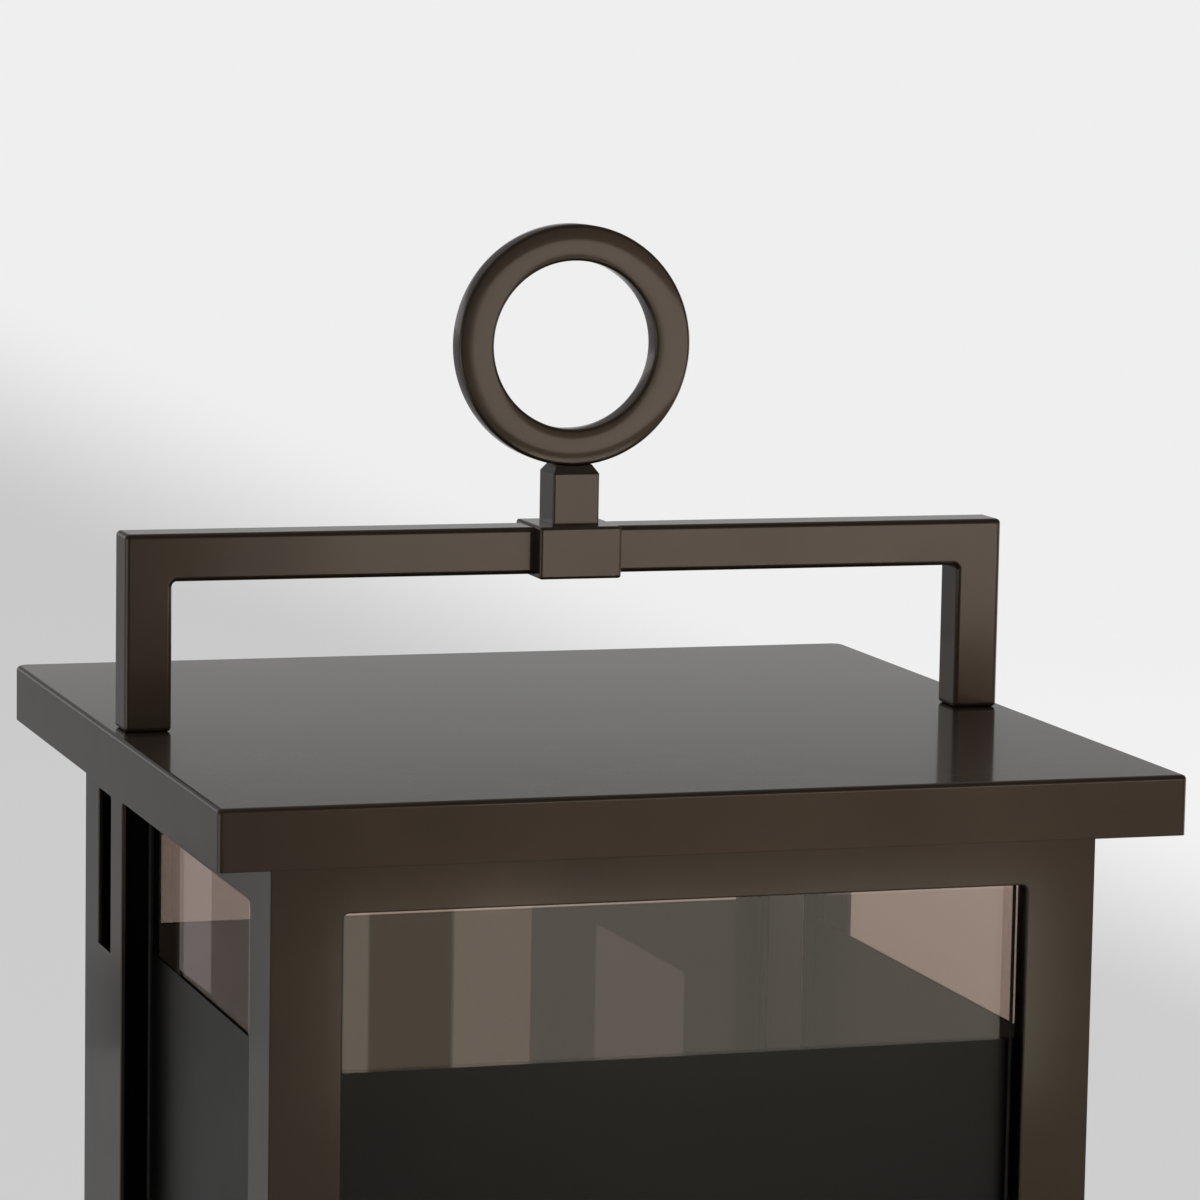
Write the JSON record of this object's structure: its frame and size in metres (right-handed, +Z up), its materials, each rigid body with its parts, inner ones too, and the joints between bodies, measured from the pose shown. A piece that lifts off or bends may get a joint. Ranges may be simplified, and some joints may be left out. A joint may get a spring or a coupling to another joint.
{
  "type": "post top lantern",
  "caption": "Square post top lantern: flat overhanging roof with a bail handle and ring, tinted glass on all sides, a hinged rear door and a fitter for a round post.",
  "frame": {"origin": "centre of the post fitter's open lower rim, which is the bottom centre of the object", "axes": "+Z up along the post, -Y towards the front window, +Y towards the rear door, +X to the right seen from the front"},
  "size_m": [0.254, 0.254, 0.5588],
  "materials": {
    "bronze_paint": "satin",
    "bronze_hardware": "satin",
    "tinted_glass": "gloss",
    "etched_glass": "satin",
    "plated_steel": "satin",
    "white_ceramic": "gloss",
    "socket_brass": "satin",
    "lamp_metal": "satin",
    "lamp_white": "satin",
    "black_rubber": "matte"
  },
  "bodies": {
    "lantern_body": {"roof_cap": "bronze_paint", "ceiling_plate": "plated_steel", "ceiling_screws": "plated_steel", "roof_screws": "plated_steel", "bail": "bronze_paint", "bail_screws": "plated_steel", "bail_collar": "bronze_paint", "ring_stem": "bronze_paint", "top_ring": "bronze_paint", "stem_bolt": "bronze_hardware", "front_frame": "bronze_paint", "left_frame": "bronze_paint", "right_frame": "bronze_paint", "left_column_cover": "bronze_paint", "right_column_cover": "bronze_paint", "rear_frame": "bronze_paint", "front_pane": "tinted_glass", "left_pane": "tinted_glass", "right_pane": "tinted_glass", "front_etched_pane": "etched_glass", "left_etched_pane": "etched_glass", "right_etched_pane": "etched_glass", "front_pane_clips": "plated_steel", "left_pane_clips": "plated_steel", "right_pane_clips": "plated_steel", "hinge_frame_leaves": "bronze_hardware", "hinge_pins": "bronze_hardware", "base_tray": "bronze_paint", "tray_skirt": "bronze_paint", "wall_screws": "plated_steel", "post_fitter": "bronze_paint", "fitter_flange": "bronze_paint", "fitter_screws": "plated_steel", "wire_bushing": "black_rubber", "socket_bracket": "plated_steel", "bracket_screws": "plated_steel", "lamp_socket": "white_ceramic", "socket_shell": "socket_brass"},
    "rear_door": {"rear_door_frame": "bronze_paint", "rear_pane": "tinted_glass", "rear_etched_pane": "etched_glass", "rear_pane_clips": "plated_steel", "hinge_door_leaves": "bronze_hardware"},
    "door_latch": {"latch_knob": "bronze_hardware", "latch_cam": "plated_steel", "latch_nut": "plated_steel"},
    "lamp": {"lamp_cap": "lamp_metal", "lamp_bulb": "lamp_white"},
    "clamp_1": {"set_screw_1": "bronze_hardware"},
    "clamp_2": {"set_screw_2": "bronze_hardware"},
    "clamp_3": {"set_screw_3": "bronze_hardware"}
  },
  "joints": [
    {"name": "door_hinge", "type": "hinge", "parent": "lantern_body", "child": "rear_door", "pos_m": [0.0986, 0.1131, 0.2403], "axis": [0, 0, -1], "range_deg": [0, 120]},
    {"name": "latch_turn", "type": "hinge", "parent": "rear_door", "child": "door_latch", "pos_m": [-0.0761, 0.1053, 0.111], "axis": [0, 1, 0], "range_deg": [0, 90]},
    {"name": "lamp_turn", "type": "hinge", "parent": "lantern_body", "child": "lamp", "pos_m": [0, 0, 0.14], "axis": [0, 0, 1], "range_deg": [0, 360]},
    {"name": "clamp_1_travel", "type": "slide", "parent": "lantern_body", "child": "clamp_1", "axis": [0, -1, 0], "range_m": [0, 0.0075]},
    {"name": "clamp_2_travel", "type": "slide", "parent": "lantern_body", "child": "clamp_2", "axis": [0.866, 0.5, 0], "range_m": [0, 0.0075]},
    {"name": "clamp_3_travel", "type": "slide", "parent": "lantern_body", "child": "clamp_3", "axis": [-0.866, 0.5, 0], "range_m": [0, 0.0075]}
  ]
}
